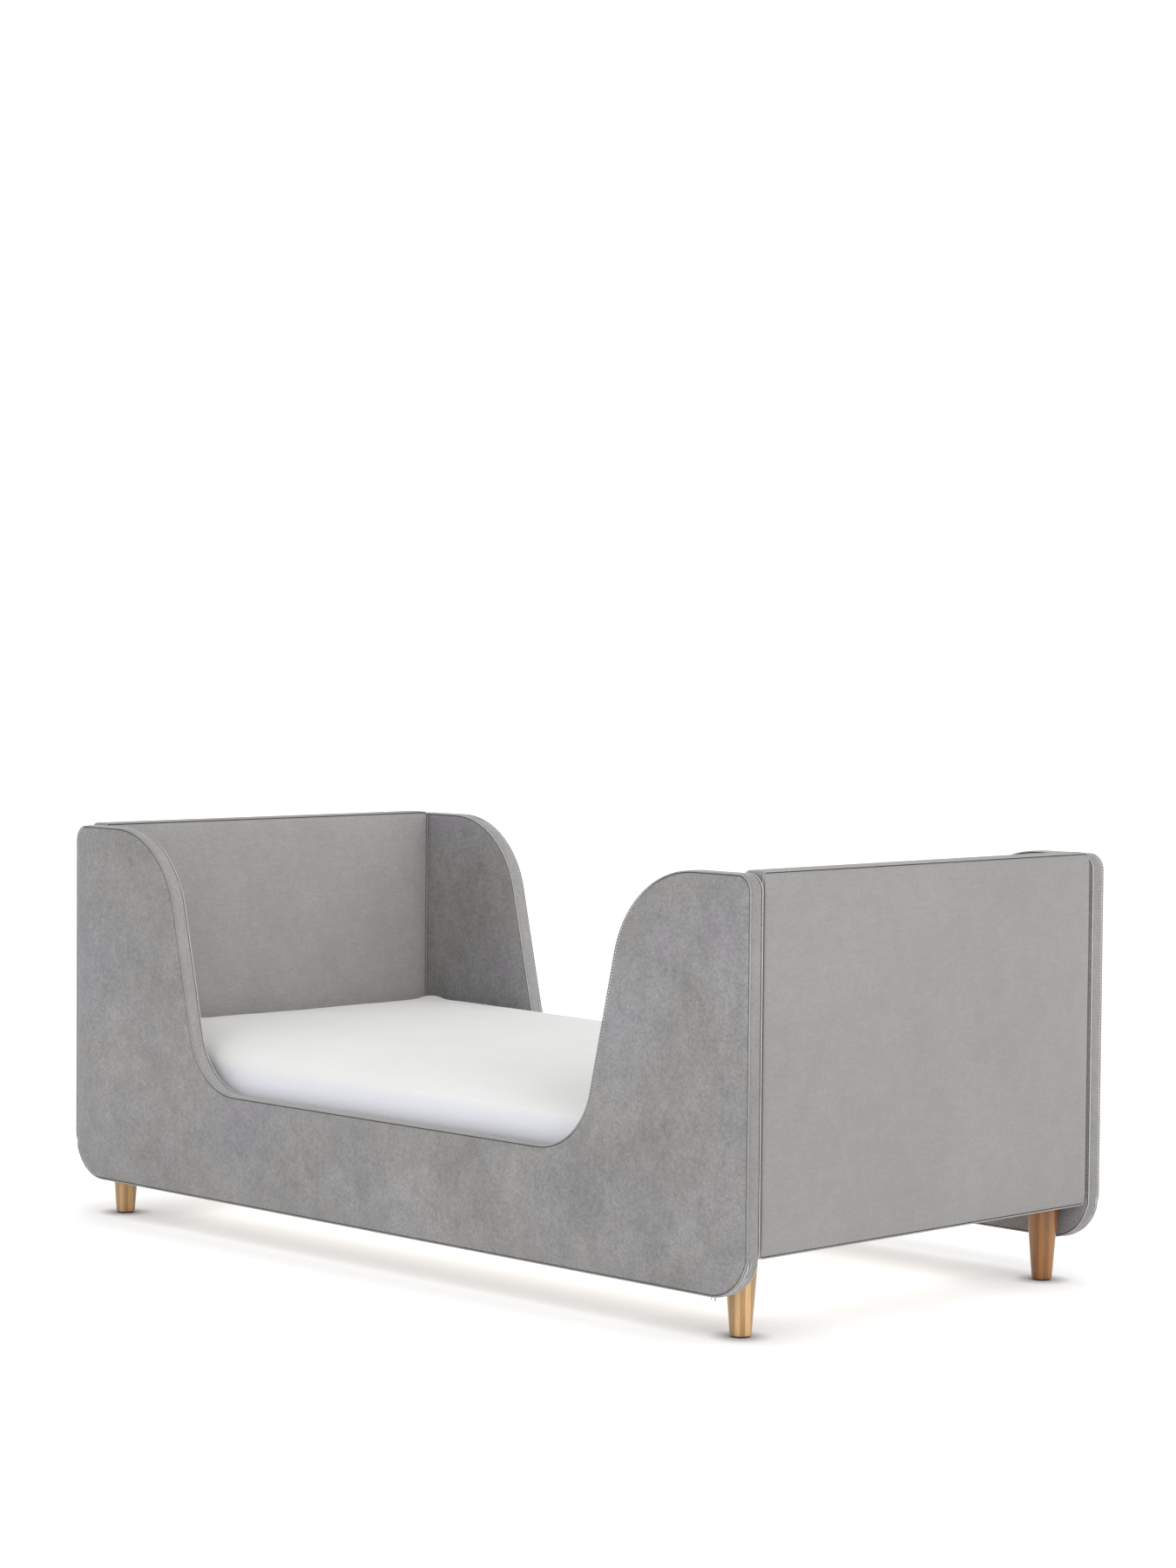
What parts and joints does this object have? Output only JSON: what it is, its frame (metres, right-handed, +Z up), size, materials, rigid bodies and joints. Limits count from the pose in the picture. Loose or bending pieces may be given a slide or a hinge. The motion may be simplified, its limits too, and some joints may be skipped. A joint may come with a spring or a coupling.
{
  "type": "toddler bed",
  "caption": "Upholstered toddler bed with scooped padded side panels, padded headboard and footboard, tapered wooden legs, slatted base and a sheeted mattress.",
  "frame": {"origin": "middle of the bed on the floor, at the bottom centre of its box", "axes": "+X from the headboard to the footboard along the bed, +Y to the rear side panel, +Z up; the front side panel is at -Y"},
  "size_m": [1.5134, 0.768, 0.636],
  "materials": {
    "velvet_side": "soft mottled velvet",
    "velvet_end": "soft mottled velvet, a little lighter and warmer",
    "foam": "open-cell upholstery foam",
    "plywood": "birch plywood, sanded",
    "core_board": "plain board, sanded",
    "leg_wood": "clear-lacquered beech",
    "base_wood": "planed pine",
    "slat_wood": "planed pine",
    "mattress_foam": "foam mattress",
    "sheet_cotton": "smooth white cotton",
    "felt": "dark felt",
    "zinc_steel": "bright zinc plate",
    "brass": "yellow zinc plate"
  },
  "bodies": {
    "bed": {"front_panel_core": "plywood", "front_panel_inner_pad": "foam", "front_panel_outer_pad": "foam", "front_panel_inner_cover": "velvet_side", "front_panel_outer_cover": "velvet_side", "front_panel_edge_band": "velvet_side", "rear_panel_core": "plywood", "rear_panel_inner_pad": "foam", "rear_panel_outer_pad": "foam", "rear_panel_inner_cover": "velvet_side", "rear_panel_outer_cover": "velvet_side", "rear_panel_edge_band": "velvet_side", "headboard_core": "core_board", "headboard_inner_pad": "foam", "headboard_outer_pad": "foam", "headboard_inner_cover": "velvet_end", "headboard_outer_cover": "velvet_end", "headboard_edge_band": "velvet_end", "footboard_core": "core_board", "footboard_inner_pad": "foam", "footboard_outer_pad": "foam", "footboard_inner_cover": "velvet_end", "footboard_outer_cover": "velvet_end", "footboard_edge_band": "velvet_end", "leg_front_left": "leg_wood", "leg_front_right": "leg_wood", "leg_rear_left": "leg_wood", "leg_rear_right": "leg_wood", "block_front_left": "base_wood", "block_front_right": "base_wood", "block_rear_left": "base_wood", "block_rear_right": "base_wood", "front_ledger": "base_wood", "rear_ledger": "base_wood", "foot_ledger": "base_wood", "head_ledger": "base_wood", "slat_01": "slat_wood", "slat_02": "slat_wood", "slat_03": "slat_wood", "slat_04": "slat_wood", "slat_05": "slat_wood", "slat_06": "slat_wood", "slat_07": "slat_wood", "slat_08": "slat_wood", "slat_09": "slat_wood", "slat_10": "slat_wood", "slat_11": "slat_wood", "slat_12": "slat_wood", "slat_13": "slat_wood", "leg_glides": "felt", "leg_bolts": "zinc_steel", "leg_inserts": "zinc_steel", "corner_brackets": "zinc_steel", "bracket_bolts": "zinc_steel", "panel_inserts": "brass", "block_bolts": "zinc_steel", "ledger_screws": "zinc_steel", "slat_screws": "zinc_steel"},
    "mattress": {"mattress_core": "mattress_foam", "fitted_sheet": "sheet_cotton"}
  },
  "joints": [
    {"name": "mattress_lift", "type": "slide", "parent": "bed", "child": "mattress", "axis": [0, 0, 1], "range_m": [0, 0.5]}
  ]
}
